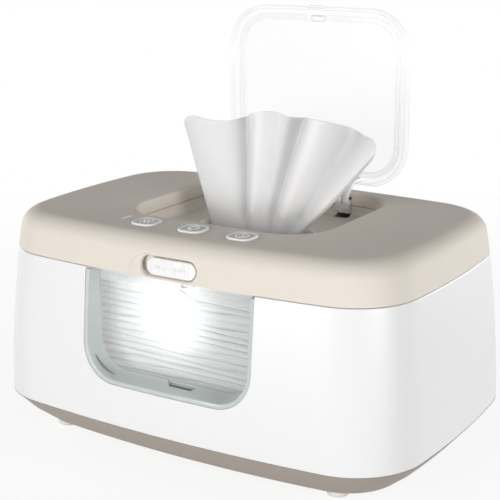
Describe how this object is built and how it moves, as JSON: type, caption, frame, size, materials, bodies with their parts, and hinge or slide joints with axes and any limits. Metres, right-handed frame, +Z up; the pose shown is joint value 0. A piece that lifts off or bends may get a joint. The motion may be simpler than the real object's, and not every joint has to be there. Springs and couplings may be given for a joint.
{
  "type": "baby wipe warmer",
  "caption": "Countertop baby wipe warmer: lit front window, hinged cover with push buttons and a slide latch, and a clear flip lid over the dispensing well",
  "frame": {"origin": "on the table under the middle of the body", "axes": "+X to the right along the long front, -Y out of the front with the window, +Z up"},
  "size_m": [0.24, 0.163, 0.2136],
  "materials": {
    "pan_plastic": "fine matt texture, warm taupe",
    "shell_plastic": "satin white moulding",
    "cover_plastic": "satin warm beige",
    "clear_lid_plastic": "clear polished",
    "window_plastic": "clear, slightly frosted",
    "tank_plastic": "satin white",
    "tray_plastic": "satin beige",
    "liner_plastic": "satin white",
    "white_plastic": "satin white",
    "silicone": "soft matt silicone",
    "foot_rubber": "translucent soft rubber",
    "spring_steel": "plain drawn wire",
    "zinc_steel": "zinc plated",
    "plate_aluminium": "plain rolled",
    "heater_silicone": "matt red-brown silicone",
    "board_laminate": "green solder mask",
    "black_plastic": "matt black",
    "cutoff_plastic": "dark brown phenolic",
    "diffuser_plastic": "opal diffuser",
    "wipe_fabric": "moist white non-woven"
  },
  "bodies": {
    "base": {"base_pan": "pan_plastic", "outer_shell": "shell_plastic", "foot_front_left": "foot_rubber", "foot_front_right": "foot_rubber", "foot_rear_left": "foot_rubber", "foot_rear_right": "foot_rubber", "base_screws": "zinc_steel", "window_insert": "window_plastic", "inner_tank": "tank_plastic", "wipe_stack": "wipe_fabric", "heater_plate": "plate_aluminium", "heater_mat": "heater_silicone", "thermal_cutoff": "cutoff_plastic", "power_board": "board_laminate", "power_board_parts": "black_plastic", "dc_jack": "black_plastic", "dc_pin": "zinc_steel", "night_light_lens": "diffuser_plastic", "night_light_board": "board_laminate", "hinge_pins": "zinc_steel"},
    "cover": {"cover": "cover_plastic", "dispensing_tray": "tray_plastic", "mouth_plate": "tray_plastic", "mouth_seal": "silicone", "cover_liner": "liner_plastic", "cover_seal": "silicone", "liner_screws": "zinc_steel", "tray_screws": "zinc_steel", "control_board": "board_laminate", "board_screws": "zinc_steel", "tact_switches": "black_plastic", "light_pipe": "diffuser_plastic", "latch_spring": "spring_steel", "lid_pins": "zinc_steel", "lid_springs": "spring_steel", "wipe_sheet": "wipe_fabric"},
    "flip_lid": {"flip_lid": "clear_lid_plastic", "lid_gasket": "silicone"},
    "latch_slider": {"latch_knob": "white_plastic", "latch_hook": "white_plastic"},
    "button_heat": {"button_heat": "white_plastic"},
    "button_light": {"button_light": "white_plastic"},
    "button_timer": {"button_timer": "white_plastic"}
  },
  "joints": [
    {"name": "cover_hinge", "type": "hinge", "parent": "base", "child": "cover", "pos_m": [0, 0.0763, 0.0965], "axis": [-1, 0, 0], "range_deg": [0, 95]},
    {"name": "flip_lid_hinge", "type": "hinge", "parent": "cover", "child": "flip_lid", "pos_m": [0, 0.066, 0.11], "axis": [1, 0, 0], "range_deg": [0, 90], "stiffness_Nm_per_rad": 0.012, "springref_deg": -17.19, "deforming": ["wipe_sheet", "lid_springs"]},
    {"name": "latch_slide", "type": "slide", "parent": "cover", "child": "latch_slider", "axis": [-1, 0, 0], "range_m": [0, 0.0036], "stiffness_N_per_m": 250, "springref_m": -0.002, "deforming": ["latch_spring"]},
    {"name": "button_heat_press", "type": "slide", "parent": "cover", "child": "button_heat", "axis": [0, 0, -1], "range_m": [0, 0.0008], "stiffness_N_per_m": 600},
    {"name": "button_light_press", "type": "slide", "parent": "cover", "child": "button_light", "axis": [0, 0, -1], "range_m": [0, 0.0008], "stiffness_N_per_m": 600},
    {"name": "button_timer_press", "type": "slide", "parent": "cover", "child": "button_timer", "axis": [0, 0, -1], "range_m": [0, 0.0008], "stiffness_N_per_m": 600}
  ]
}
